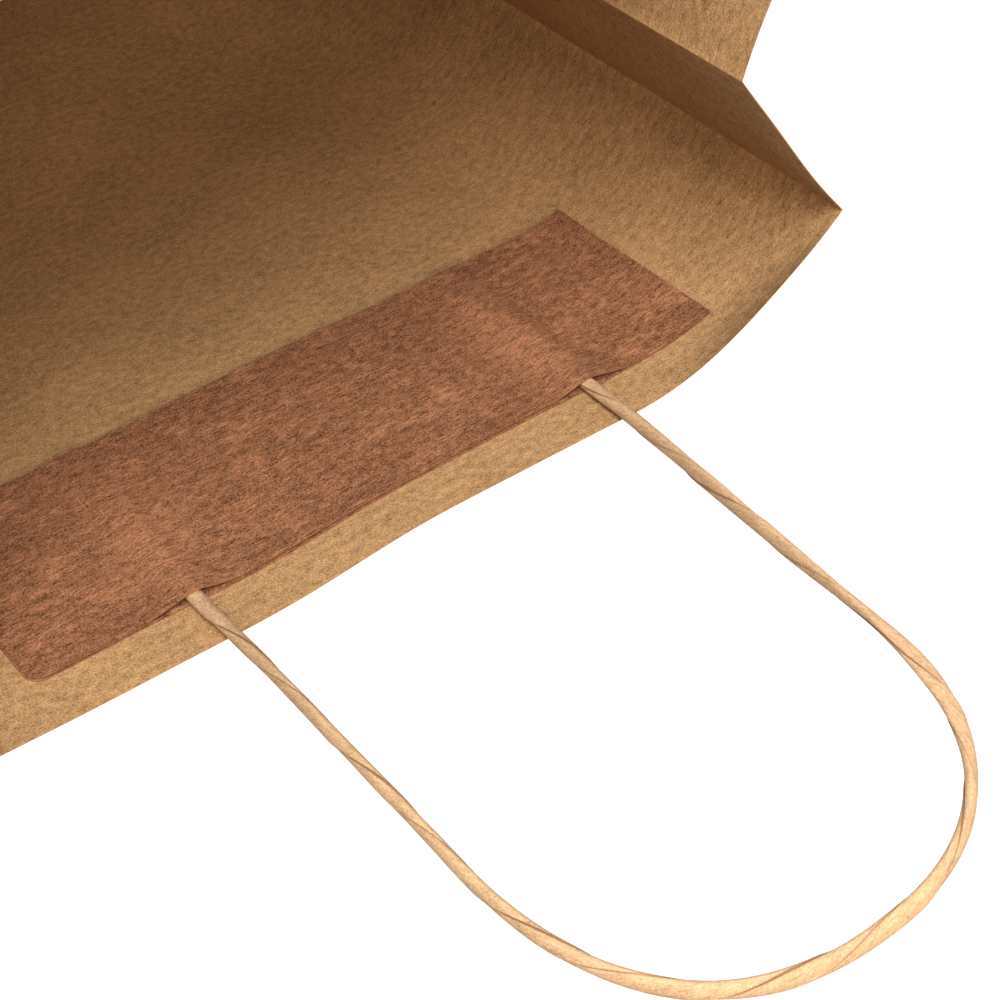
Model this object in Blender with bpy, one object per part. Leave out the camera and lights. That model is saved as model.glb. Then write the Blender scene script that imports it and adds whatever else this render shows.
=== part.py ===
"""Gift bag: a kraft paper carrier with side gussets, a folded block bottom and two twisted-paper handles.

Units are metres. The bag stands upright on its base with +Z up. The origin is under the middle of the base.
The front panel is at -Y and the rear panel at +Y, and the gussets fold inwards at -X and +X.
"""
import math

import bmesh
import bpy
from mathutils import Vector

# Driving sizes of the bag
WIDTH = 0.220
DEPTH = 0.1044
HEIGHT = 0.310
PAPER = 0.0003
GAP = 0.0003

# How the bag stands open: the walls leave the base's rectangle and reach the mouth's shape at OPEN_HEIGHT
OPEN_HEIGHT = 0.190
MOUTH_MIDDLE = 0.0651               # a panel's middle at the mouth, from the bag's middle plane
WALL_FOOT = PAPER + GAP             # the walls start above the layer that the bag stands on
RIM_CURL = 0.006                    # depth over which the rim's curve fades into the wall's
LEFT, RIGHT, FRONT, REAR = -1, 1, -1, 1


class Corner:
    """One corner crease at the mouth, and how the panel beside it curves from its flat middle to it."""

    def __init__(self, x, y, rim_flat, rim_power, wall_flat, wall_power):
        self.x, self.y = x, y
        self.rim_flat, self.rim_power = rim_flat, rim_power
        self.wall_flat, self.wall_power = wall_flat, wall_power


PULLED_IN = Corner(0.1037, 0.0419, 0.047, 2.2, 0.064, 2.6)
STANDING_OUT = Corner(0.1094, 0.0601, 0.088, 2.0, 0.088, 2.0)
CORNERS = {(LEFT, FRONT): STANDING_OUT, (LEFT, REAR): PULLED_IN, (RIGHT, FRONT): PULLED_IN, (RIGHT, REAR): PULLED_IN}

# Handles
PATCH_WIDTH = 0.158
PATCH_HEIGHT = 0.049
PATCH_DROP = 0.0111                 # the patch's upper edge, below the rim
PATCH_PAPER = 0.00025
CORD_HALF_WIDTH = 0.0012            # the cord is oval: this is across a leg, in the handle's plane
CORD_HALF_THICKNESS = 0.0020        # and this is square to that plane
BURIED_HALF_WIDTH = 0.0019
BURIED_HALF_THICKNESS = 0.0006
CORD_FLARE = 0.014                  # length over which a buried cord opens out from its flat end
HUMP_SHOULDER = 0.0024              # half the flat top of the cover's hump over a cord
HUMP_RUN = 0.0075                   # each side slope of that hump
LEG_FOOT = 0.046                    # a cord's place at the patch's edge, from the middle
LEG_HEAD = 0.0441                   # the same where the arch starts
ARCH_START = 0.0711                 # height of the arch's start over the patch's edge
ARCH_RISE = 0.0552
ARCH_POWER_X, ARCH_POWER_Z = 2.27, 2.68
HINGE_RISE = 0.003                  # the bend line of a handle, over the rim
REAR_LEAN = math.radians(30)        # the rear handle leans out, away from the mouth
ARCH_STEPS = 26
CORD_SIDES = 10

# Base folds
FLAP_LAP = 0.013                    # each bottom flap's reach past the middle
FLAP_TAPER = 0.028                  # slant of a flap's ends
TUCK_REACH = 0.044
TUCK_TIP = 0.012                    # half the width of a tuck's inner edge
EDGE_CLEARANCE = 0.0008
SEAM_LAP = 0.018
CREASE_TRIM = 0.0006                # each sheet stops this far short of a crease

HEIGHTS = [WALL_FOOT, 0.020, 0.045, 0.075, 0.105, 0.135, 0.165, 0.195, 0.230, 0.262, 0.285, 0.292,
           0.299, 0.3045, HEIGHT]
PANEL_PLACES = [0, 0.25, 0.44, 0.55, 0.62, 0.68, 0.74, 0.8, 0.84, 0.88, 0.92, 0.96, 1]

SLOTS = {
    "kraft": ((0.42, 0.27, 0.14, 1), 0.85),
    "patch": ((0.30, 0.15, 0.08, 1), 0.9),
    "cord": ((0.50, 0.31, 0.17, 1), 0.8),
}


def clear_scene():
    """Empty the scene of whatever it holds."""
    for old in list(bpy.data.objects):
        bpy.data.objects.remove(old, do_unlink=True)


def make_material(name):
    """A plain finish for one kind of paper."""
    colour, roughness = SLOTS[name]
    material = bpy.data.materials.new(name)
    material.use_nodes = True
    shader = material.node_tree.nodes["Principled BSDF"]
    shader.inputs["Base Color"].default_value = colour
    shader.inputs["Roughness"].default_value = roughness
    shader.inputs["Metallic"].default_value = 0.0
    return material


def smooth(t):
    """0 to 1 with level ends."""
    t = min(max(t, 0.0), 1.0)
    return t * t * (3 - 2 * t)


def openness(z):
    """0 at the flat base, 1 where the walls have the mouth's full shape."""
    return smooth(z / OPEN_HEIGHT)


def corner(across, side, z):
    """A corner crease's distances from the two middle planes at height z."""
    mouth = CORNERS[across, side]
    k = openness(z) ** 2
    return WIDTH / 2 + (mouth.x - WIDTH / 2) * k, DEPTH / 2 + (mouth.y - DEPTH / 2) * k


def fold(across, z):
    """The gusset's centre fold at height z: its distance out to the side, and its y."""
    front_x, front_y = corner(across, FRONT, z)
    rear_x, rear_y = corner(across, REAR, z)
    span_x, span_y = rear_x - front_x, rear_y + front_y
    span = math.hypot(span_x, span_y)
    depth = math.sqrt(max(0.0, (DEPTH / 2) ** 2 - (span / 2) ** 2))
    x = (front_x + rear_x) / 2 - depth * span_y / span
    y = (rear_y - front_y) / 2 + depth * span_x / span
    return x, y


def panel_y(side, x, z):
    """Distance of a panel's outer face from the bag's middle plane."""
    across = LEFT if x < 0 else RIGHT
    mouth = CORNERS[across, side]
    edge, corner_y = corner(across, side, z)
    rim = max(0.0, (abs(x) - mouth.rim_flat) / (edge - mouth.rim_flat)) ** mouth.rim_power
    wall = max(0.0, (abs(x) - mouth.wall_flat) / (edge - mouth.wall_flat)) ** mouth.wall_power
    rise = wall + (rim - wall) * math.exp(-(HEIGHT - z) / RIM_CURL)
    middle = DEPTH / 2 + (MOUTH_MIDDLE - DEPTH / 2) * openness(z)
    return middle - (middle - corner_y) * rise


def panel_point(side, x, z, depth):
    """A point of the front (-1) or rear (+1) panel, depth inside its outer face."""
    step = 0.0005
    slope = (panel_y(side, x + step, z) - panel_y(side, x - step, z)) / (2 * step)
    length = math.hypot(1, slope)
    y = panel_y(side, x, z) - depth / length
    return Vector((x + depth * slope / length, side * y, z))


def gusset_point(across, side, t, z, depth):
    """A point of a gusset half: t is 0 at the corner crease and 1 at the centre fold."""
    corner_x, corner_y = corner(across, side, z)
    fold_x, fold_y = fold(across, z)
    run_x, run_y = fold_x - corner_x, fold_y - side * corner_y
    length = math.hypot(run_x, run_y)
    x = corner_x + run_x * t + side * depth * run_y / length
    y = side * corner_y + run_y * t - side * depth * run_x / length
    return Vector((across * x, y, z))


def add_object(name, mesh, slot):
    """Put a finished bmesh in the scene as one named object."""
    bmesh.ops.recalc_face_normals(mesh, faces=mesh.faces)
    data = bpy.data.meshes.new(name)
    mesh.to_mesh(data)
    mesh.free()
    data.materials.append(MATERIALS[slot])
    data.shade_smooth()
    data.set_sharp_from_angle(angle=math.radians(35))
    piece = bpy.data.objects.new(name, data)
    bpy.context.scene.collection.objects.link(piece)
    return piece


def sheet(name, slot, columns, rows, outer, inner):
    """A closed sheet between two surfaces, each a function of a column and a row."""
    mesh = bmesh.new()
    faces = [[[mesh.verts.new(surface(u, v)) for v in rows] for u in columns] for surface in (outer, inner)]
    last_u, last_v = len(columns) - 1, len(rows) - 1
    for layer in faces:
        for i in range(last_u):
            for j in range(last_v):
                a, b, c, d = layer[i][j], layer[i + 1][j], layer[i + 1][j + 1], layer[i][j + 1]
                mesh.faces.new((a, b, c) if layer is faces[0] else (c, b, a))
                mesh.faces.new((a, c, d) if layer is faces[0] else (d, c, a))
    border = [(i, 0) for i in range(last_u)] + [(last_u, j) for j in range(last_v)]
    border += [(i, last_v) for i in range(last_u, 0, -1)] + [(0, j) for j in range(last_v, 0, -1)]
    for here, after in zip(border, border[1:] + border[:1]):
        low, high = faces[0], faces[1]
        mesh.faces.new((low[after[0]][after[1]], low[here[0]][here[1]],
                        high[here[0]][here[1]], high[after[0]][after[1]]))
    return add_object(name, mesh, slot)


def wall_panel(name, side):
    """The front or rear panel, from crease to crease."""
    places = [-p for p in PANEL_PLACES[:0:-1]] + PANEL_PLACES

    def at(depth):
        def point(p, z):
            edge = corner(LEFT if p < 0 else RIGHT, side, z)[0] - CREASE_TRIM
            return panel_point(side, p * edge, z, depth)
        return point

    return sheet(name, "kraft", places, HEIGHTS, at(0.0), at(PAPER))


def gusset_half(name, across, side):
    """Half of a side gusset, between a corner crease and the centre fold."""
    trim = CREASE_TRIM / (DEPTH / 2)
    places = [trim, 0.5, 1 - trim]

    def at(depth):
        return lambda t, z: gusset_point(across, side, t, z, depth)

    return sheet(name, "kraft", places, HEIGHTS, at(0.0), at(PAPER))


def seam_flap():
    """The glued lap along the rear panel's left edge, on the inside."""
    first = PAPER + GAP

    def at(depth):
        def point(p, z):
            edge = corner(LEFT, REAR, z)[0] - 2 * CREASE_TRIM - first
            return panel_point(REAR, -(edge - SEAM_LAP * p), z, depth)
        return point

    rows = [z for z in HEIGHTS if z > 0.01]
    return sheet("seam_flap", "kraft", [0, 0.2, 0.4, 0.6, 0.8, 1], rows, at(first), at(first + PAPER))


def prism(name, slot, outline, low, high):
    """A flat sheet of any outline, from height low to high."""
    mesh = bmesh.new()
    under = [mesh.verts.new((x, y, low)) for x, y in outline]
    over = [mesh.verts.new((x, y, high)) for x, y in outline]
    mesh.faces.new(under)
    mesh.faces.new(over)
    for i, _ in enumerate(outline):
        j = (i + 1) % len(outline)
        mesh.faces.new((under[i], under[j], over[j], over[i]))
    bmesh.ops.triangulate(mesh, faces=mesh.faces)
    return add_object(name, mesh, slot)


def front_bottom_flap():
    """The lower of the two glued flaps that close the bottom."""
    half, back = WIDTH / 2, -DEPTH / 2
    outline = [(-half, back), (half, back), (half - FLAP_TAPER, FLAP_LAP), (FLAP_TAPER - half, FLAP_LAP)]
    return prism("bottom_flap_front", "kraft", outline, 0.0, PAPER)


def rear_bottom_flap():
    """The other glued flap, which steps up over the front flap's free edge."""
    half, back = WIDTH / 2, DEPTH / 2
    lift = PAPER + GAP
    step_start, step_end = FLAP_LAP + 0.005, FLAP_LAP + 0.001
    stations = [(back, 0.0), (step_start, 0.0), (step_end, lift), (-FLAP_LAP, lift)]

    def at(top):
        def point(across, station):
            y, z = stations[station]
            share = (back - y) / (back + FLAP_LAP)
            return Vector((across * (half - FLAP_TAPER * share), y, z + top))
        return point

    return sheet("bottom_flap_rear", "kraft", [LEFT, RIGHT], range(len(stations)), at(0.0), at(PAPER))


def bottom_tuck(name, across):
    """The side fold that is trapped inside the bottom, above the two flaps."""
    low = 2 * (PAPER + GAP)
    outer = WIDTH / 2 - EDGE_CLEARANCE
    half = DEPTH / 2 - EDGE_CLEARANCE
    inner = outer - TUCK_REACH
    outline = [(across * outer, -half), (across * outer, half), (across * inner, TUCK_TIP),
               (across * inner, -TUCK_TIP)]
    return prism(name, "kraft", outline, low, low + PAPER)


PATCH_TOP = HEIGHT - PATCH_DROP
PATCH_FOOT = PATCH_TOP - PATCH_HEIGHT
HINGE_Z = HEIGHT + HINGE_RISE
BACKING_DEPTH = PAPER + GAP                         # from a panel's outer face
CORD_DEPTH = BACKING_DEPTH + PATCH_PAPER + GAP      # the face that a cord lies on
HINGE_DEPTH = CORD_DEPTH + CORD_HALF_THICKNESS      # a handle's plane


def cord_half_thickness(z):
    """Half the thickness of a handle's cord at height z: pressed flat in the patch, full above it."""
    share = smooth((z - (PATCH_TOP - CORD_FLARE)) / CORD_FLARE)
    return BURIED_HALF_THICKNESS + (CORD_HALF_THICKNESS - BURIED_HALF_THICKNESS) * share


def cord_half_width(z):
    """Half the width of a handle's cord at height z."""
    share = smooth((z - (PATCH_TOP - CORD_FLARE)) / CORD_FLARE)
    return BURIED_HALF_WIDTH + (CORD_HALF_WIDTH - BURIED_HALF_WIDTH) * share


def leg_x(z):
    """Distance of a handle's leg from the middle at height z."""
    share = (z - PATCH_TOP) / ARCH_START
    return LEG_FOOT - (LEG_FOOT - LEG_HEAD) * max(0.0, share)


def patch_columns():
    """Where the patch papers bend: over each cord, and along the panel's curve."""
    half = PATCH_WIDTH / 2
    outer = [LEG_FOOT - HUMP_SHOULDER - HUMP_RUN + HUMP_RUN * s for s in (0, 0.5, 1)]
    outer += [LEG_FOOT + HUMP_SHOULDER + HUMP_RUN * s for s in (0, 0.5, 1)]
    outer += [PULLED_IN.wall_flat, (PULLED_IN.wall_flat + half) / 2, half]
    return [-x for x in outer[::-1]] + outer


def patch_rows():
    """Heights at which the patch papers bend."""
    return [PATCH_FOOT] + [PATCH_TOP - CORD_FLARE * s for s in (1, 0.75, 0.5, 0.25, 0)]


def patch_backing(name, side):
    """The paper strip glued to the panel, under the cord ends."""
    def at(depth):
        return lambda x, z: panel_point(side, x, z, depth)

    return sheet(name, "patch", patch_columns(), patch_rows(), at(BACKING_DEPTH),
                 at(BACKING_DEPTH + PATCH_PAPER))


def patch_cover(name, side):
    """The paper strip glued over the cord ends. It humps over each cord."""
    def at(extra):
        def point(x, z):
            aside = abs(abs(x) - LEG_FOOT) - HUMP_SHOULDER
            hump = 1 - smooth(aside / HUMP_RUN)
            depth = CORD_DEPTH + hump * (2 * cord_half_thickness(z) + GAP)
            return panel_point(side, x, z, depth + extra)
        return point

    return sheet(name, "patch", patch_columns(), patch_rows(), at(0.0), at(PATCH_PAPER))


def cord_end(name, across, side):
    """The end of a handle's cord: flat where it is glued in the patch, full where it comes out at the rim."""
    mesh = bmesh.new()
    top = HINGE_Z - CORD_HALF_THICKNESS - GAP
    stations = [PATCH_FOOT + 0.001, PATCH_TOP - CORD_FLARE]
    stations += [PATCH_TOP - CORD_FLARE * s for s in (0.75, 0.5, 0.25, 0)] + [PATCH_TOP + 0.004, top]
    plane = panel_y(side, LEG_FOOT, HEIGHT) - CORD_DEPTH
    rings = []
    for z in stations:
        half_thickness, half_width = cord_half_thickness(z), cord_half_width(z)
        middle = Vector((across * leg_x(z), side * (plane - half_thickness), z))
        rings.append([mesh.verts.new(middle + Vector((half_width * math.cos(a), half_thickness * math.sin(a), 0)))
                      for a in circle_angles()])
    join_rings(mesh, rings)
    return add_object(name, mesh, "cord")


def circle_angles():
    """The angles of a cord's sides."""
    return [2 * math.pi * i / CORD_SIDES for i in range(CORD_SIDES)]


def join_rings(mesh, rings):
    """Skin a run of rings and close both ends."""
    for low, high in zip(rings, rings[1:]):
        for i in range(CORD_SIDES):
            j = (i + 1) % CORD_SIDES
            mesh.faces.new((low[i], low[j], high[j], high[i]))
    mesh.faces.new(rings[0][::-1])
    mesh.faces.new(rings[-1])
    bmesh.ops.triangulate(mesh, faces=mesh.faces)


def loop_route():
    """Centreline of a handle's loop in its own plane, as x and z from its bend line."""
    arch_foot = PATCH_TOP + ARCH_START - HINGE_Z
    points = [(-leg_x(HINGE_Z + arch_foot * s), arch_foot * s) for s in (0, 0.35, 0.7)]
    for i in range(ARCH_STEPS + 1):
        angle = math.pi * (1 - i / ARCH_STEPS)
        across, up = math.cos(angle), max(0.0, math.sin(angle))
        x = math.copysign(abs(across) ** (2 / ARCH_POWER_X), across)
        points.append((LEG_HEAD * x, arch_foot + ARCH_RISE * up ** (2 / ARCH_POWER_Z)))
    return points + [(-x, z) for x, z in points[2::-1]]


def handle_loop(name, side, lean):
    """The free loop of a handle. Its two feet are round knobs centred on the bend line."""
    mesh = bmesh.new()
    route = [Vector((x, 0, z)) for x, z in loop_route()]
    knob = [(-1.0, 0.0), (-0.92, 0.39), (-0.7, 0.71), (-0.38, 0.92)]
    stations = []
    start = (route[1] - route[0]).normalized()
    finish = (route[-1] - route[-2]).normalized()
    for along, share in knob[1:]:
        stations.append((route[0] + start * along * CORD_HALF_THICKNESS, start, share))
    for i, point in enumerate(route):
        before, after = route[max(i - 1, 0)], route[min(i + 1, len(route) - 1)]
        stations.append((point, (after - before).normalized(), 1.0))
    for along, share in knob[:0:-1]:
        stations.append((route[-1] - finish * along * CORD_HALF_THICKNESS, finish, share))
    rings = []
    for middle, heading, share in stations:
        wide = Vector((heading.z, 0, -heading.x)) * CORD_HALF_WIDTH * share
        thick = Vector((0, CORD_HALF_THICKNESS * share, 0))
        rings.append([mesh.verts.new(middle + wide * math.cos(a) + thick * math.sin(a)) for a in circle_angles()])
    join_rings(mesh, rings)
    loop = add_object(name, mesh, "cord")
    loop.location = (0, side * (panel_y(side, LEG_FOOT, HEIGHT) - HINGE_DEPTH), HINGE_Z)
    loop.rotation_euler.x = -side * lean
    return loop


def build():
    """Make every piece of the bag."""
    for word, side, lean in (("front", FRONT, 0.0), ("rear", REAR, REAR_LEAN)):
        wall_panel(word + "_panel", side)
        for hand, across in (("left", LEFT), ("right", RIGHT)):
            gusset_half(f"gusset_{hand}_{word}_half", across, side)
            cord_end(f"{word}_cord_end_{hand}", across, side)
        patch_backing(word + "_patch_backing", side)
        patch_cover(word + "_patch_cover", side)
        handle_loop(word + "_handle_loop", side, lean)
    seam_flap()
    front_bottom_flap()
    rear_bottom_flap()
    bottom_tuck("bottom_tuck_left", LEFT)
    bottom_tuck("bottom_tuck_right", RIGHT)


clear_scene()
MATERIALS = {name: make_material(name) for name in SLOTS}
build()
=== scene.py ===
"""Looks of the kraft paper gift bag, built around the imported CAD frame.

Units are metres, in the frame's own axes: the bag stands on its base with +Z up, the front panel is at -Y and
the rear panel at +Y. Every sheet is built from the same surfaces as the CAD walls, with the paper's real
thickness, its waves and its folds.
"""
import math

import bpy
import numpy as np
from mathutils import Matrix, Vector


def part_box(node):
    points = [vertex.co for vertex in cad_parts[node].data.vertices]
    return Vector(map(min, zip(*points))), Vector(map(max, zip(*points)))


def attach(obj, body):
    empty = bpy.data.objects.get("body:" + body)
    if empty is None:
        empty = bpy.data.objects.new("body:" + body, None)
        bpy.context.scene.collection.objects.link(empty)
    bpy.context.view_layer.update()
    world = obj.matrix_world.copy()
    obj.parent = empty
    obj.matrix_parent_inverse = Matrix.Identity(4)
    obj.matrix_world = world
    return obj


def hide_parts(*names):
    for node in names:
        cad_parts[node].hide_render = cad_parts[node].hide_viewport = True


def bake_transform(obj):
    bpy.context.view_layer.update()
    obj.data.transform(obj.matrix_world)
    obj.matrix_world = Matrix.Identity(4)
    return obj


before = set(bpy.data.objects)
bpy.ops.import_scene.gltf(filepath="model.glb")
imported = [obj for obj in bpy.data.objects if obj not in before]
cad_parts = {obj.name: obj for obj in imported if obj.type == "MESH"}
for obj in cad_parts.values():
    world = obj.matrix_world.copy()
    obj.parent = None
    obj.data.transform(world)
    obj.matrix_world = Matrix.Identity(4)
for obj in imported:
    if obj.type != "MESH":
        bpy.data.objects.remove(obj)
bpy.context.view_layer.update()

# ---------------------------------------------------------------- sizes, as in the CAD source

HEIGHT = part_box("front_panel")[1].z
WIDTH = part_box("bottom_flap_front")[1].x * 2
DEPTH = 0.1044
OPEN_HEIGHT = 0.190                 # the walls have the mouth's full shape above this
MOUTH_MIDDLE = 0.0651               # the mouth's half depth at the middle of a panel
RIM_CURL = 0.006                    # height over which the rim's own curve fades into the wall's
LEFT, RIGHT, FRONT, REAR = -1, 1, -1, 1
# A corner at the mouth: its x and y, then the rim's flat half and curve power, then the wall's
PULLED_IN = (0.1037, 0.0419, 0.047, 2.2, 0.064, 2.6)
STANDING_OUT = (0.1094, 0.0601, 0.088, 2.0, 0.088, 2.0)
CORNERS = {(LEFT, FRONT): STANDING_OUT, (LEFT, REAR): PULLED_IN,
           (RIGHT, FRONT): PULLED_IN, (RIGHT, REAR): PULLED_IN}

PATCH_WIDTH = 0.158
PATCH_HEIGHT = 0.049
PATCH_TOP = HEIGHT - 0.0111
PATCH_FOOT = PATCH_TOP - PATCH_HEIGHT
LEG_FOOT = 0.046                    # a handle's leg from the middle, at the patch and below the arch
LEG_HEAD = 0.0441
ARCH_START = PATCH_TOP + 0.0711
ARCH_RISE = 0.0552
ARCH_POWER_X, ARCH_POWER_Z = 2.27, 2.68
HINGE_Z = HEIGHT + 0.003
BEND_HALF = 0.006                   # the cord bends over this far on each side of its hinge
LOOP_DEPTH = 0.0020                 # the real loop runs a little closer to the wall than its CAD solid
LOOP_DRIFT = 0.0011                 # and its top sits this far to the left
REAR_LEAN = math.radians(30)

WALL_FOOT = 0.00022                 # the walls start above the layer that the bag stands on
PAPER = 0.0002                      # real paper, thinner than its CAD solid
SKIN = 0.00005                      # air between glued sheets
PATCH_TRIM = 0.0003                 # the backing's upper edge past PATCH_TOP, and the cover's ends inside it
BACKING_OVERLAP = 0.00025           # the backing shows this much past the cover at the rim side
SEAM_LAP = 0.018
GUSSET_BOW = 0.0044                 # the right gusset's rear half bows into the bag
FLAP_LAP = 0.013
FLAP_TAPER = 0.028
TUCK_REACH = 0.044
TUCK_TIP = 0.012
FOLD_HEIGHT = DEPTH / 2             # where the gusset's folds to the base corners meet
CREASE = 0.0009                     # half width of a sharp crease's worn line, and of a faint one's
FAINT_CREASE = 0.0012
FAINT = 0.6                         # a faint crease's strength beside a sharp one's
RIM_ROWS = 0.03                     # rows are closer together this near the rim
PROBE = 0.0004                      # step for measuring a panel's slope

CORD_THIN = 0.00105                 # half sizes of the flattened cord
CORD_WIDE = 0.00200
GLUED_WIDE = 0.0016                 # half width of a glued end
TWIST_PITCH = 0.040
LAP_MIDDLE = 3.66                   # where the section's second seam and its last point are, in radians
LAP_END = 6.22
FLOOR_HALF = 30.0
FLOOR_LEVEL = -0.0004

BODY = {FRONT: "bag", REAR: "rear_wall"}
WORD = {FRONT: "front", REAR: "rear"}
HAND = {LEFT: "left", RIGHT: "right"}


# ---------------------------------------------------------------- surfaces

def smooth(t):
    """0 to 1 with level ends."""
    t = np.clip(t, 0.0, 1.0)
    return t * t * (3 - 2 * t)


def ripple(u, v, size, seed):
    """Smooth uneven waves of about the given size, between -1 and 1, the same on every run."""
    total = 0.0
    for i in range(5):
        angle = 2.399 * (i + 1) + seed
        wave = 2 * math.pi / (size * (0.8 + 0.23 * i))
        total = total + np.sin(wave * (u * math.cos(angle) + v * math.sin(angle)) + 1.7 * i + 3.1 * seed)
    return total / 3.2


def openness(z):
    """0 at the flat base, 1 where the walls have the mouth's full shape."""
    return smooth(z / OPEN_HEIGHT)


def corner(across, side, z):
    """A corner crease's distances from the two middle planes at height z."""
    mouth_x, mouth_y = CORNERS[across, side][:2]
    k = openness(z) ** 2
    return WIDTH / 2 + (mouth_x - WIDTH / 2) * k, DEPTH / 2 + (mouth_y - DEPTH / 2) * k


def fold(across, z):
    """The gusset's centre fold at height z: its distance out to the side, and its y."""
    front_x, front_y = corner(across, FRONT, z)
    rear_x, rear_y = corner(across, REAR, z)
    span_x, span_y = rear_x - front_x, rear_y + front_y
    span = np.hypot(span_x, span_y)
    depth = np.sqrt(np.maximum(0.0, (DEPTH / 2) ** 2 - (span / 2) ** 2))
    return (front_x + rear_x) / 2 - depth * span_y / span, (rear_y - front_y) / 2 + depth * span_x / span


def panel_wave(side, x, z, edge):
    """How far the paper stands off its smooth shape: soft dents in the wall and a wavy cut rim."""
    free = smooth((edge - np.abs(x)) / 0.022) * smooth(z / 0.03)
    dents = 0.0006 * ripple(x, z, 0.085, 1.3 + side)
    rim = -0.0008 * np.cos(math.pi * x / LEG_FOOT) + 0.0004 * ripple(x, z * 0, 0.05, 2.2 + side)
    return free * (dents + rim * np.exp(-(HEIGHT - z) / 0.018))


def panel_y(side, x, z):
    """Distance of a panel's outer face from the bag's middle plane."""
    x, z = np.broadcast_arrays(x, z)
    halves = []
    for across in (LEFT, RIGHT):
        rim_flat, rim_power, wall_flat, wall_power = CORNERS[across, side][2:]
        edge, corner_y = corner(across, side, z)
        rim = np.maximum(0.0, (np.abs(x) - rim_flat) / (edge - rim_flat)) ** rim_power
        wall = np.maximum(0.0, (np.abs(x) - wall_flat) / (edge - wall_flat)) ** wall_power
        rise = wall + (rim - wall) * np.exp(-(HEIGHT - z) / RIM_CURL)
        middle = DEPTH / 2 + (MOUTH_MIDDLE - DEPTH / 2) * openness(z)
        halves.append(middle - (middle - corner_y) * rise + panel_wave(side, x, z, edge))
    return np.where(x < 0, halves[0], halves[1])


def panel_point(side, x, z, depth):
    """Points of a panel, depth inside its outer face."""
    slope = (panel_y(side, x + PROBE, z) - panel_y(side, x - PROBE, z)) / (2 * PROBE)
    length = np.sqrt(1 + slope * slope)
    y = panel_y(side, x, z) - depth / length
    return np.stack([x + depth * slope / length, side * y, z + 0 * x], -1)


def corner_point(across, side, z, depth):
    """Points of a corner crease, mitred between the panel and the gusset."""
    x, y = corner(across, side, z)
    slope = (panel_y(side, across * x, z) - panel_y(side, across * (x - PROBE), z)) / PROBE
    length = np.sqrt(1 + slope * slope)
    panel_normal = np.stack([slope / length, -1 / length], -1)
    fold_x, fold_y = fold(across, z)
    run = np.stack([fold_x - x, side * fold_y - y], -1)
    run = run / np.linalg.norm(run, axis=-1, keepdims=True)
    gusset_normal = np.stack([run[..., 1], -run[..., 0]], -1)
    both = panel_normal + gusset_normal
    scale = depth / (1 + (panel_normal * gusset_normal).sum(-1))
    return np.stack([across * (x + both[..., 0] * scale), side * (y + both[..., 1] * scale), z], -1)


def gusset_point(across, side, t, z, depth):
    """Points of a gusset half: t is 0 at the corner crease and 1 at the centre fold."""
    corner_x, corner_y = corner(across, side, z)
    fold_x, fold_y = fold(across, z)
    run_x, run_y = fold_x - corner_x, side * fold_y - corner_y
    length = np.hypot(run_x, run_y)
    bowed = 1.0 if (across, side) == (RIGHT, REAR) else 0.12
    bow = GUSSET_BOW * openness(z) * 4 * t * (1 - t) * bowed
    dent = 0.0005 * ripple(t * 0.05, z, 0.07, 4.1 + side + across) * np.sin(np.pi * t) * openness(z)
    inward = depth + bow + dent
    x = corner_x + run_x * t + inward * run_y / length
    y = corner_y + run_y * t - inward * run_x / length
    return np.stack([across * x, side * y, z + 0 * t], -1)


# ---------------------------------------------------------------- meshes

def make_mesh(name, points, faces, material, marks, angle=38):
    """One mesh object with per-point marks for its material."""
    data = bpy.data.meshes.new(name)
    data.from_pydata([tuple(p) for p in points], [], faces)
    for word, values in marks.items():
        values = np.asarray(values, np.float32)
        kind = "FLOAT_VECTOR" if values.ndim == 2 else "FLOAT"
        attribute = data.attributes.new(word, kind, "POINT")
        attribute.data.foreach_set("vector" if values.ndim == 2 else "value", values.ravel())
    data.materials.append(material)
    data.shade_smooth()
    data.set_sharp_from_angle(angle=math.radians(angle))
    data.validate()
    piece = bpy.data.objects.new(name, data)
    bpy.context.scene.collection.objects.link(piece)
    return piece


def thick_sheet(name, outer, inner, material, flat, crease=None):
    """A closed sheet between two grids of points. flat gives each point's place in the uncut sheet."""
    count_u, count_v = outer.shape[:2]
    count = count_u * count_v
    index = np.arange(count).reshape(count_u, count_v)
    quads = np.stack([index[:-1, :-1], index[1:, :-1], index[1:, 1:], index[:-1, 1:]], -1).reshape(-1, 4)
    edge = np.concatenate([index[:, 0], index[-1, 1:], index[-2::-1, -1], index[0, -2:0:-1]])
    after = np.roll(edge, -1)
    border = np.stack([after, edge, edge + count, after + count], -1)
    faces = np.concatenate([quads, quads[:, ::-1] + count, border])
    points = np.concatenate([outer.reshape(-1, 3), inner.reshape(-1, 3)])
    middle = count_u // 2, count_v // 2
    across = outer[middle[0] + 1, middle[1]] - outer[middle]
    along = outer[middle[0], middle[1] + 1] - outer[middle]
    if np.dot(np.cross(across, along), outer[middle] - inner[middle]) < 0:
        faces = faces[:, ::-1]
    mark = np.zeros(count) if crease is None else crease.reshape(-1)
    place = flat.reshape(-1, 3)
    marks = {"flat": np.concatenate([place, place + [0, 0, 0.5]]), "crease": np.concatenate([mark, mark])}
    return make_mesh(name, points, faces.tolist(), material, marks)


def spaced(low, high, step):
    """Even stations from low to high, about step apart."""
    return np.linspace(low, high, max(2, int(round((high - low) / step)) + 1))


def heights():
    """Rows of a wall, closer together at the wavy rim."""
    start = HEIGHT - RIM_ROWS
    return np.concatenate([spaced(WALL_FOOT, start, 0.0022)[:-1], spaced(start, HEIGHT, 0.0012)])


def line_mark(distance, width):
    """1 on a fold line, 0 away from it."""
    return np.exp(-(distance / width) ** 2)


# ---------------------------------------------------------------- materials

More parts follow.
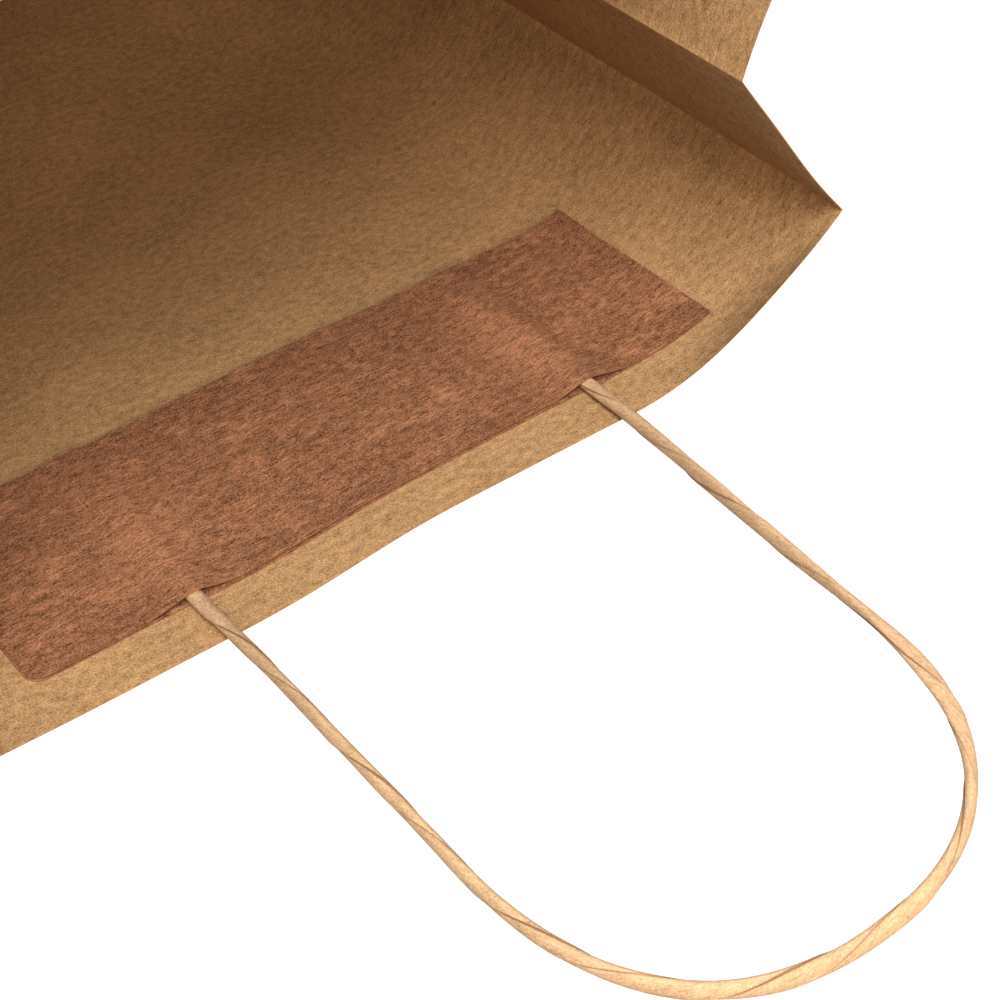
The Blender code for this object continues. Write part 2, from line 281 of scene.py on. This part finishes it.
class Nodes:
    """A short way to write a material's node tree."""

    def __init__(self, name):
        self.material = bpy.data.materials.new(name)
        self.material.use_nodes = True
        self.tree = self.material.node_tree
        self.shader = self.tree.nodes["Principled BSDF"]

    def add(self, kind, inputs=(), **settings):
        node = self.tree.nodes.new(kind)
        for key, value in settings.items():
            setattr(node, key, value)
        for key, value in dict(inputs).items():
            self.put(node.inputs[key], value)
        return node

    def put(self, socket, value):
        if isinstance(value, bpy.types.NodeSocket):
            self.tree.links.new(value, socket)
        else:
            socket.default_value = value

    def place(self, stretch=(1, 1, 1)):
        """A point's place in its own flat sheet, stretched."""
        flat = self.add("ShaderNodeAttribute", attribute_name="flat")
        return self.add("ShaderNodeVectorMath", {0: flat.outputs["Vector"], 1: stretch},
                        operation="MULTIPLY").outputs[0]

    def mark(self, word):
        return self.add("ShaderNodeAttribute", attribute_name=word).outputs["Fac"]

    def noise(self, place, scale, detail=3.0, rough=0.5, distort=0.0):
        return self.add("ShaderNodeTexNoise", {"Vector": place, "Scale": scale, "Detail": detail,
                                              "Roughness": rough, "Distortion": distort}).outputs["Fac"]

    def band(self, value, low, high, out_low=0.0, out_high=1.0):
        """value from low to high, as out_low to out_high, held at the ends."""
        return self.add("ShaderNodeMapRange", {"Value": value, "From Min": low, "From Max": high,
                                               "To Min": out_low, "To Max": out_high}).outputs[0]

    def math(self, operation, a, b=0.0):
        return self.add("ShaderNodeMath", {0: a, 1: b}, operation=operation).outputs[0]

    def mix(self, share, first, second):
        node = self.add("ShaderNodeMix", data_type="RGBA")
        self.put(node.inputs[0], share)
        self.put(node.inputs[6], first)
        self.put(node.inputs[7], second)
        return node.outputs[2]

    def bump(self, height, strength, distance, normal=None):
        node = self.add("ShaderNodeBump", {"Height": height, "Strength": strength, "Distance": distance})
        if normal is not None:
            self.put(node.inputs["Normal"], normal)
        return node.outputs[0]


def shade(colour, factor):
    """A colour made lighter or darker, with its strength as for a shader."""
    return tuple(min(1.0, c * factor) for c in colour) + (1,)


def kraft(name, base, pale_pulp, grain_gain, blotch, streak, scuff, fleck, pale_fold):
    """Uncoated kraft paper: mottled pulp, short fibres, dark and pale flecks, and folds worn pale.

    base and pale_pulp are its middle and its palest colour. grain_gain, blotch and streak say how far the fine
    grain, the mottling and the fibres vary it, and scuff, fleck and pale_fold how strongly those show.
    """
    n = Nodes(name)
    cloudy = n.noise(n.place((0.7, 1, 1)), 70, 4, 0.6)
    mottle = n.noise(n.place((0.7, 1, 1)), 640, 3, 0.6)
    grain = n.noise(n.place(), 2300, 2, 0.6)
    fibres = n.noise(n.place((0.16, 1, 1)), 2100, 3, 0.65, 1.2)
    rubbed = n.noise(n.place((0.6, 1, 1)), 150, 4, 0.75, 1.0)
    flecks = n.noise(n.place((0.6, 1, 1)), 760, 1.5, 0.5, 0.5)
    pale = n.noise(n.place((1, 0.5, 1)), 990, 1.5, 0.5, 0.8)

    tone = n.math("ADD", n.band(cloudy, 0.3, 0.7, -0.09, 0.09), n.band(mottle, 0.3, 0.7, -blotch, blotch))
    tone = n.math("ADD", tone, n.band(grain, 0.2, 0.8, -grain_gain, grain_gain))
    tone = n.math("ADD", tone, n.band(fibres, 0.25, 0.75, -streak, streak))
    folded = n.math("MULTIPLY", n.mark("crease"), pale_fold)
    worn = n.math("MAXIMUM", n.band(rubbed, 0.50, 0.66, 0.0, scuff), folded)
    tone = n.math("ADD", tone, n.math("MULTIPLY", worn, n.band(fibres, 0.35, 0.62, 0.15, 1.0)))
    share = n.math("ADD", n.math("MULTIPLY", tone, 0.70), 0.43)
    colour = n.mix(share, shade(base, 0.36), shade(pale_pulp, 1))
    colour = n.mix(n.band(flecks, 0.71, 0.77, 0.0, fleck), colour, shade(base, 0.34))
    colour = n.mix(n.band(pale, 0.73, 0.80, 0.0, 0.4), colour, shade(base, 1.65))
    n.put(n.shader.inputs["Base Color"], colour)
    n.put(n.shader.inputs["Roughness"], n.band(grain, 0.3, 0.7, 0.78, 0.92))
    n.shader.inputs["Specular IOR Level"].default_value = 0.15
    fine = n.bump(n.math("ADD", grain, n.math("MULTIPLY", fibres, 0.8)), 0.45, 0.00012)
    uneven = n.bump(mottle, 0.3, 0.0003, fine)
    n.put(n.shader.inputs["Normal"], n.bump(n.mark("crease"), 0.25, 0.0004, uneven))
    return n.material


def cord_paper(name):
    """A strip of paler kraft twisted into a cord, with shadow in its spiral seams."""
    n = Nodes(name)
    base = (0.52, 0.350, 0.208)
    grain = n.noise(n.place(), 2100, 3, 0.7)
    fibres = n.noise(n.place((1, 0.22, 1)), 2000, 3, 0.6, 0.8)
    cloudy = n.noise(n.place(), 160, 3, 0.6)
    tone = n.math("ADD", n.band(grain, 0.25, 0.75, -0.40, 0.40), n.band(fibres, 0.3, 0.7, -0.28, 0.28))
    tone = n.math("ADD", tone, n.band(cloudy, 0.3, 0.7, -0.12, 0.12))
    colour = n.mix(n.math("ADD", tone, 0.5), shade(base, 0.62), shade(base, 1.38))
    # painted shade: the spiral seams are darkened towards deep brown where their grooves lie in shadow
    colour = n.mix(n.math("MULTIPLY", n.mark("seam"), 0.8), colour, (0.17, 0.075, 0.035, 1))
    n.put(n.shader.inputs["Base Color"], colour)
    n.put(n.shader.inputs["Roughness"], n.band(grain, 0.3, 0.7, 0.68, 0.85))
    n.shader.inputs["Specular IOR Level"].default_value = 0.3
    n.put(n.shader.inputs["Normal"], n.bump(n.math("ADD", grain, fibres), 0.35, 0.0001))
    return n.material


KRAFT = kraft("kraft_paper", (0.420, 0.258, 0.124), (0.775, 0.478, 0.236), grain_gain=0.48, blotch=0.22,
              streak=0.12, scuff=0.0, fleck=0.6, pale_fold=0.30)
PATCH = kraft("patch_paper", (0.250, 0.106, 0.049), (0.470, 0.224, 0.119), grain_gain=0.78, blotch=0.28,
              streak=0.45, scuff=0.60, fleck=0.3, pale_fold=0.50)
CORD = cord_paper("handle_cord")


def finish_piece(piece, slot_name, *nodes):
    """Hides the CAD nodes that a piece stands for. slot_name, the finish's name, is not used."""
    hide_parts(*nodes)


# ---------------------------------------------------------------- the paper tube

def make_panel(side):
    """The front or rear panel, from corner crease to corner crease, with its cut rim."""
    rows = heights()
    bend = 0.62
    places = np.concatenate([spaced(-1, -bend, 0.018)[:-1], spaced(-bend, bend, 0.026)[:-1],
                             spaced(bend, 1, 0.018)])
    p, z = np.meshgrid(places, rows, indexing="ij")
    x = p * np.where(p < 0, corner(LEFT, side, z)[0], corner(RIGHT, side, z)[0])
    layers = []
    for depth in (0.0, PAPER):
        points = panel_point(side, x, z, depth)
        points[0] = corner_point(LEFT, side, rows, depth)
        points[-1] = corner_point(RIGHT, side, rows, depth)
        layers.append(points)
    flat = np.stack([p * WIDTH / 2 + side, z, 0 * z], -1)
    crease = line_mark(WIDTH / 2 * (1 - np.abs(p)), CREASE)
    if side == REAR:
        crease = np.maximum(crease, FAINT * line_mark(z - FOLD_HEIGHT, FAINT_CREASE))
    panel = thick_sheet(WORD[side] + "_wall_sheet", layers[0], layers[1], KRAFT, flat, crease)
    finish_piece(panel, "kraft_paper", WORD[side] + "_panel")
    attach(panel, BODY[side])


def make_gusset(across):
    """A side gusset: two halves either side of the centre fold, in one sheet that follows both panels."""
    rows = heights()
    half = spaced(0, 1, 0.045)
    layers = []
    for depth in (0.0, PAPER):
        sides = []
        for side in (FRONT, REAR):
            t, z = np.meshgrid(half, rows, indexing="ij")
            points = gusset_point(across, side, t, z, depth)
            points[0] = corner_point(across, side, rows, depth)
            sides.append(points)
        sides[0][-1] = (sides[0][-1] + sides[1][-1]) / 2
        layers.append(np.concatenate([sides[0], sides[1][-2::-1]]))
    run = np.concatenate([half, 2 - half[-2::-1]])
    u, z = np.meshgrid(run * DEPTH / 2, rows, indexing="ij")
    flat = np.stack([u + 3 + across, z, 0 * z], -1)
    centre = np.abs(u - DEPTH / 2)
    ends = np.minimum(u, DEPTH - u)
    slant = np.abs(z - (FOLD_HEIGHT - centre))
    crease = np.maximum(line_mark(centre, CREASE), line_mark(ends, CREASE))
    below_fold = z < FOLD_HEIGHT + 0.003
    crease = np.maximum(crease, FAINT * line_mark(slant, FAINT_CREASE) * below_fold)
    word = HAND[across]
    gusset = thick_sheet(f"gusset_{word}_sheet", layers[0], layers[1], KRAFT, flat, crease)
    finish_piece(gusset, "kraft_paper", f"gusset_{word}_front_half", f"gusset_{word}_rear_half")
    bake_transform(gusset)


def make_seam_flap():
    """The glued lap inside the rear panel's left edge."""
    rows = heights()
    rows = rows[rows > 0.012]
    share, z = np.meshgrid(spaced(0, 1, 0.08), rows, indexing="ij")
    edge = corner(LEFT, REAR, z)[0] - 0.0006
    wander = 0.0003 * ripple(z, 0 * z, 0.05, 5.0)
    x = -(edge - (SEAM_LAP + wander) * share)
    first = PAPER + SKIN
    layers = [panel_point(REAR, x, z, first + extra) for extra in (0.0, PAPER)]
    flap = thick_sheet("seam_flap_sheet", layers[0], layers[1], KRAFT, np.stack([x + 7, z, 0 * z], -1))
    finish_piece(flap, "kraft_paper", "seam_flap")
    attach(flap, "rear_wall")


# ---------------------------------------------------------------- handle patches

def buried_thickness(z):
    """Half the thickness of the cord inside and just above a patch."""
    under_cover = 0.00045 * smooth((z - PATCH_FOOT) / 0.03)
    at_exit = 0.00040 * smooth((z - PATCH_TOP + 0.010) / 0.010)
    return 0.0002 + under_cover + at_exit


def cover_hump(x, z):
    """How far the cover stands over the cord ends: a faint ridge that opens into a tent at the rim side."""
    near_top = smooth((z - (PATCH_TOP - 0.013)) / 0.013)
    ridge = 2 * buried_thickness(z) + 0.0001
    aside = np.abs(x) - LEG_FOOT
    run = np.where(aside > 0, 0.0050 + 0.0055 * near_top, 0.0045 + 0.0035 * near_top)
    slope = np.clip(1 - (np.abs(aside) - 0.0014) / run, 0, 1)
    return ridge * (smooth(slope) * (1 - near_top) + slope ** 1.35 * near_top)


def patch_grid(side_trim, top_trim, seed):
    """x and z of a patch strip's points, with hand-cut, slightly wavy edges."""
    u, v = np.meshgrid(spaced(-1, 1, 0.0095), spaced(0, 1, 0.022), indexing="ij")
    half = PATCH_WIDTH / 2 - side_trim
    x = u * half + 0.0004 * ripple(v * PATCH_HEIGHT, 0 * v, 0.045, seed) * np.abs(u) ** 8 * np.sign(u)
    top = PATCH_TOP - top_trim + 0.00022 * ripple(x, 0 * x, 0.05, seed + 1)
    foot = PATCH_FOOT + 0.00045 * ripple(x, 0 * x, 0.08, seed + 2)
    worn = 0.0022 * np.maximum(0, (-u - 0.965) / 0.035) ** 2.2
    z = foot + (top - foot - worn) * v
    return x, z


def make_patch(side):
    """The two paper strips that hold a handle's ends on the inside of a panel."""
    word = WORD[side]
    x, z = patch_grid(0.0, -PATCH_TRIM, 1.0 + side)
    first = PAPER + SKIN
    layers = [panel_point(side, x, z, first + extra) for extra in (0.0, PAPER)]
    flat = np.stack([x + 11 + side, z, 0 * z], -1)
    backing = thick_sheet(word + "_patch_backing_sheet", layers[0], layers[1], PATCH, flat)
    finish_piece(backing, "patch_paper", word + "_patch_backing")
    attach(backing, BODY[side])

    x, z = patch_grid(PATCH_TRIM, BACKING_OVERLAP - PATCH_TRIM, 4.0 + side)
    pucker = 0.00010 * ripple(x, z, 0.016, 6.0 + side) + 0.00010
    lip = 0.00018 * smooth((z - (PATCH_TOP - 0.004)) / 0.004) * (1 + ripple(x, 0 * x, 0.035, 7.0 + side))
    depth = first + PAPER + SKIN + cover_hump(x, z) + pucker + lip
    layers = [panel_point(side, x, z, depth + extra) for extra in (0.0, PAPER)]
    flat = np.stack([x + 15 + side, z, 0 * z], -1)
    scuff = line_mark(np.abs(np.abs(x) - LEG_FOOT + 0.002), 0.0065) * smooth((z - PATCH_FOOT) / 0.02)
    cover = thick_sheet(word + "_patch_cover_sheet", layers[0], layers[1], PATCH, flat, scuff)
    finish_piece(cover, "patch_paper", word + "_patch_cover")
    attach(cover, BODY[side])


# ---------------------------------------------------------------- handles

def leg_x(z):
    """Distance of a handle's leg from the middle at height z."""
    return LEG_FOOT - (LEG_FOOT - LEG_HEAD) * max(0.0, (z - PATCH_TOP) / (ARCH_START - PATCH_TOP))


def loop_plan():
    """The cord's centreline from one glued end to the other, as x and height in the upright handle's plane."""
    leg = [(-leg_x(z), z) for z in spaced(PATCH_FOOT + 0.0005, ARCH_START, 0.002)]
    arch = []
    count = 160
    for i in range(1, count):
        angle = math.pi * (1 - i / count)
        across, up = math.cos(angle), math.sin(angle)
        x = LEG_HEAD * math.copysign(abs(across) ** (2 / ARCH_POWER_X), across)
        arch.append((x, ARCH_START + ARCH_RISE * up ** (2 / ARCH_POWER_Z)))
    return np.array(leg + arch + [(-x, z) for x, z in leg[::-1]])


def even_line(points, step):
    """The same line, with points a step apart."""
    gaps = np.linalg.norm(np.diff(points, axis=0), axis=1)
    run = np.concatenate([[0], np.cumsum(gaps)])
    at = spaced(0, run[-1], step)
    return np.stack([np.interp(at, run, points[:, i]) for i in range(points.shape[1])], -1), at


def lean_at(lean, height):
    """How far the cord has bent outwards at a height in the handle's plane."""
    return lean * smooth((height - HINGE_Z + BEND_HALF) / (2 * BEND_HALF))


def leaned(lean, height):
    """Where a height in the handle's plane goes once the cord has bent out by lean: outwards and up."""
    step = 0.0005
    table = np.arange(PATCH_FOOT - 0.002, HEIGHT + 0.2, step)
    angle = lean_at(lean, table)
    out = np.cumsum(np.sin(angle)) * step
    up = table[0] + np.cumsum(np.cos(angle)) * step
    return np.interp(height, table, out), np.interp(height, table, up)


def cord_depth(z):
    """Depth of the cord's centre inside the panel's outer face."""
    glued = 2 * PAPER + 2 * SKIN + buried_thickness(z)
    return glued + (LOOP_DEPTH - glued) * smooth((z - PATCH_TOP + 0.002) / (HINGE_Z - PATCH_TOP))


def cord_line(side, lean):
    """The cord's centreline in space, its height in the upright handle's plane, and its length so far."""
    plan, along = even_line(loop_plan(), 0.0007)
    x, height = plan[:, 0], plan[:, 1]
    out, up = leaned(lean, height)
    face = panel_y(side, np.clip(x, -LEG_FOOT, LEG_FOOT), np.minimum(height, HEIGHT))
    face = np.where(height > HEIGHT, panel_y(side, np.sign(x) * LEG_FOOT, HEIGHT + 0 * x), face)
    settled = float(panel_y(side, np.array(LEG_FOOT), np.array(0.3)))
    face = settled + (face - settled) * (1 - smooth((height - PATCH_TOP) / 0.03))
    sway = 0.0007 * ripple(along, 0 * along, 0.11, 2.0 + side) * smooth((height - HINGE_Z) / 0.05)
    y = face - cord_depth(height) + out + sway
    x = x - LOOP_DRIFT * smooth((height - HINGE_Z) / 0.10)
    return np.stack([x, side * y, up], -1), height, along


def unit(vectors):
    return vectors / np.linalg.norm(vectors, axis=1, keepdims=True)


def cord_axes(side, lean, line, height, along):
    """Unit vectors across the cord, its flattened section's two ways, turned where the photo's loop twists."""
    heading = unit(np.gradient(line, axis=0))
    angle = lean_at(lean, height)
    square = np.stack([0 * angle, side * np.cos(angle), -np.sin(angle)], -1)
    square = unit(square - heading * (square * heading).sum(1, keepdims=True))
    wide_way = np.cross(heading, square)
    total = along[-1]
    turn = math.radians(74) * np.exp(-((along - 0.640 * total) / 0.020) ** 2)
    turn += math.radians(20) * np.exp(-((along - 0.5 * total) / 0.030) ** 2)
    first = wide_way * np.cos(turn)[:, None] + square * np.sin(turn)[:, None]
    second = square * np.cos(turn)[:, None] - wide_way * np.sin(turn)[:, None]
    return first, second


def strip_profile():
    """The twisted strip's section as angles and radii, with how much painted shade lies in its two seams.

    The radius steps at the strip's edge, where the angles start and end, and at LAP_MIDDLE.
    """
    angles = np.concatenate([[0.0, 0.03], spaced(0.16, 3.55, 0.15), [LAP_MIDDLE, 3.70],
                             spaced(3.85, 6.15, 0.15), [LAP_END]])
    first = 0.16 * np.clip(1 - angles / 2.6, 0, 1) * (angles > 0.01)
    second = 0.10 * np.clip(1 - (angles - 3.68) / 1.8, 0, 1) * (angles > 3.68)
    groove = -0.06 * np.exp(-((2 * math.pi - angles) / 0.25) ** 2)
    groove = groove - 0.04 * np.exp(-((LAP_MIDDLE - angles) / 0.2) ** 2)
    # painted shade in the seams: strongest at the strip's edge, where the angles start and end, and at the lap
    dark = np.exp(-(angles / 0.05) ** 2) + 0.8 * np.exp(-((angles - LAP_END) / 0.12) ** 2)
    dark = np.clip(dark + 0.75 * np.exp(-((angles - LAP_MIDDLE) / 0.07) ** 2), 0, 1)
    return angles, 0.93 + first + second + groove, dark


def make_handle(side, lean):
    """One length of twisted paper cord: flat glued ends, two legs and the arch."""
    line, height, along = cord_line(side, lean)
    first, second = cord_axes(side, lean, line, height, along)
    buried = 1 - smooth((height - (PATCH_TOP - 0.002)) / 0.026)
    second_half = CORD_WIDE * (1 - buried) + buried_thickness(height) * buried
    first_half = CORD_THIN * (1 - buried) + GLUED_WIDE * buried

    angles, swell, dark = strip_profile()
    spin = -side * (along / TWIST_PITCH * 2 * math.pi) + 0.9
    phi = angles[None, :] + spin[:, None]
    uneven = 1 + 0.05 * ripple(along, 0 * along, 0.02, 3.0)[:, None] * np.cos(2 * phi)
    radius = swell[None, :] * uneven
    points = (line[:, None, :] + first[:, None, :] * (first_half[:, None] * radius * np.cos(phi))[..., None]
              + second[:, None, :] * (second_half[:, None] * radius * np.sin(phi))[..., None])

    shape = points.shape[:2]
    index = np.arange(shape[0] * shape[1]).reshape(shape)
    after = np.roll(index, -1, axis=1)
    faces = np.stack([index[:-1], after[:-1], after[1:], index[1:]], -1).reshape(-1, 4).tolist()
    faces += [index[0, ::-1].tolist(), index[-1].tolist()]
    if side == REAR:
        faces = [face[::-1] for face in faces]
    flat = np.stack([np.broadcast_to(angles * 0.0016, shape),
                     np.broadcast_to(along[:, None], shape) + 20 + side, np.zeros(shape)], -1)
    # the seam mark carries the painted shade of the spiral seams to the cord's material
    marks = {"flat": flat.reshape(-1, 3), "seam": np.broadcast_to(dark, shape).reshape(-1)}
    word = WORD[side]
    cord = make_mesh(word + "_handle_cord", points.reshape(-1, 3), faces, CORD, marks, 50)
    finish_piece(cord, "handle_cord", word + "_handle_loop", word + "_cord_end_left", word + "_cord_end_right")
    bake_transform(cord)


# ---------------------------------------------------------------- the base

def base_sheet(name, corners, height):
    """A flat fold of the bottom. corners are its outline, and height gives the z of its lower face."""
    u, v = np.meshgrid(spaced(0, 1, 0.04), spaced(0, 1, 0.04), indexing="ij")
    shares = [(1 - u) * (1 - v), u * (1 - v), u * v, (1 - u) * v]
    x, y = (sum(share * corner_xy[i] for share, corner_xy in zip(shares, corners)) for i in (0, 1))
    low = height(x, y)
    layers = [np.stack([x, y, low + extra], -1) for extra in (0.0, PAPER)]
    edge = np.minimum(np.minimum(u, 1 - u), np.minimum(v, 1 - v))
    flat = np.stack([x + 30 + low * 900, y, 0 * x], -1)
    sheet = thick_sheet(name + "_sheet", layers[0], layers[1], KRAFT, flat, 0.5 * line_mark(edge, 0.02))
    finish_piece(sheet, "kraft_paper", name)
    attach(sheet, "bag")


def make_base():
    """The folded bottom: two glued flaps, and the two side tucks trapped over them."""
    half, deep = WIDTH / 2, DEPTH / 2
    inner = half - FLAP_TAPER
    front = [(-half, -deep), (half, -deep), (inner, FLAP_LAP), (-inner, FLAP_LAP)]
    base_sheet("bottom_flap_front", front, lambda x, y: 0 * x)
    rear = [(-half, deep), (half, deep), (inner, -FLAP_LAP), (-inner, -FLAP_LAP)]
    base_sheet("bottom_flap_rear", rear, lambda x, y: 0.00028 * smooth((FLAP_LAP + 0.006 - y) / 0.005))
    reach = deep - PAPER - 2 * SKIN
    for across, word in HAND.items():
        outer, tip = across * (half - PAPER), across * (half - TUCK_REACH)
        outline = [(outer, -reach), (outer, reach), (tip, TUCK_TIP), (tip, -TUCK_TIP)]
        base_sheet("bottom_tuck_" + word, outline,
                   lambda x, y: 0.00030 + 0.00035 * smooth((half - np.abs(x)) / 0.004))


# ---------------------------------------------------------------- camera, light and floor

def make_camera():
    """The view down into the open mouth, towards the front panel's patch."""
    right = Vector((0.788963, -0.027312, 0.613833))
    forward = Vector((0.429671, -0.689609, -0.582943))
    up = right.cross(forward)
    data = bpy.data.cameras.new("camera")
    data.lens, data.sensor_width = 68.81, 36.0
    camera = bpy.data.objects.new("camera", data)
    camera.matrix_world = Matrix((right, up, -forward)).transposed().to_4x4()
    camera.location = (-0.14302, 0.18413, 0.52406)
    data.clip_start = 0.01
    bpy.context.scene.collection.objects.link(camera)
    bpy.context.scene.camera = camera


def make_light(name, place, aim, size, power, colour=(1, 1, 1)):
    """A round soft light at place, pointed at aim."""
    data = bpy.data.lights.new(name, "AREA")
    data.shape, data.size, data.energy, data.color = "DISK", size, power, colour
    light = bpy.data.objects.new(name, data)
    light.location = place
    light.rotation_mode = "QUATERNION"
    light.rotation_quaternion = (Vector(aim) - Vector(place)).to_track_quat("-Z", "Y")
    bpy.context.scene.collection.objects.link(light)


def make_studio():
    """A white floor and broad soft light."""
    world = bpy.data.worlds.new("studio")
    world.use_nodes = True
    background = world.node_tree.nodes["Background"]
    background.inputs["Color"].default_value = (1, 1, 1, 1)
    background.inputs["Strength"].default_value = 0.30
    bpy.context.scene.world = world
    mouth = (0, -0.05, 0.28)
    make_light("key", (-0.4, 1.6, 1.15), mouth, 1.2, 40)
    make_light("top", (-0.3, 0.45, 1.75), mouth, 1.2, 26, (1.0, 0.83, 0.66))
    make_light("fill", (0.5, -1.9, 0.7), (0, 0, 0.2), 1.2, 12)
    bpy.context.scene.view_settings.gamma = 0.92
    bpy.context.scene.view_settings.view_transform = "Standard"
    n = Nodes("floor_white")
    n.shader.inputs["Base Color"].default_value = (0.75, 0.75, 0.75, 1)
    n.shader.inputs["Roughness"].default_value = 0.9
    n.shader.inputs["Specular IOR Level"].default_value = 0.1
    n.shader.inputs["Emission Color"].default_value = (1, 1, 1, 1)
    n.shader.inputs["Emission Strength"].default_value = 0.40
    data = bpy.data.meshes.new("floor")
    outline = [(-1, -1), (1, -1), (1, 1), (-1, 1)]
    data.from_pydata([(x * FLOOR_HALF, y * FLOOR_HALF, FLOOR_LEVEL) for x, y in outline], [], [(0, 1, 2, 3)])
    data.materials.append(n.material)
    floor = bpy.data.objects.new("floor", data)
    bpy.context.scene.collection.objects.link(floor)


make_camera()
make_handle(FRONT, 0.0)
make_handle(REAR, REAR_LEAN)
for side in (FRONT, REAR):
    make_panel(side)
    make_patch(side)
for across in (LEFT, RIGHT):
    make_gusset(across)
make_seam_flap()
make_base()
make_studio()
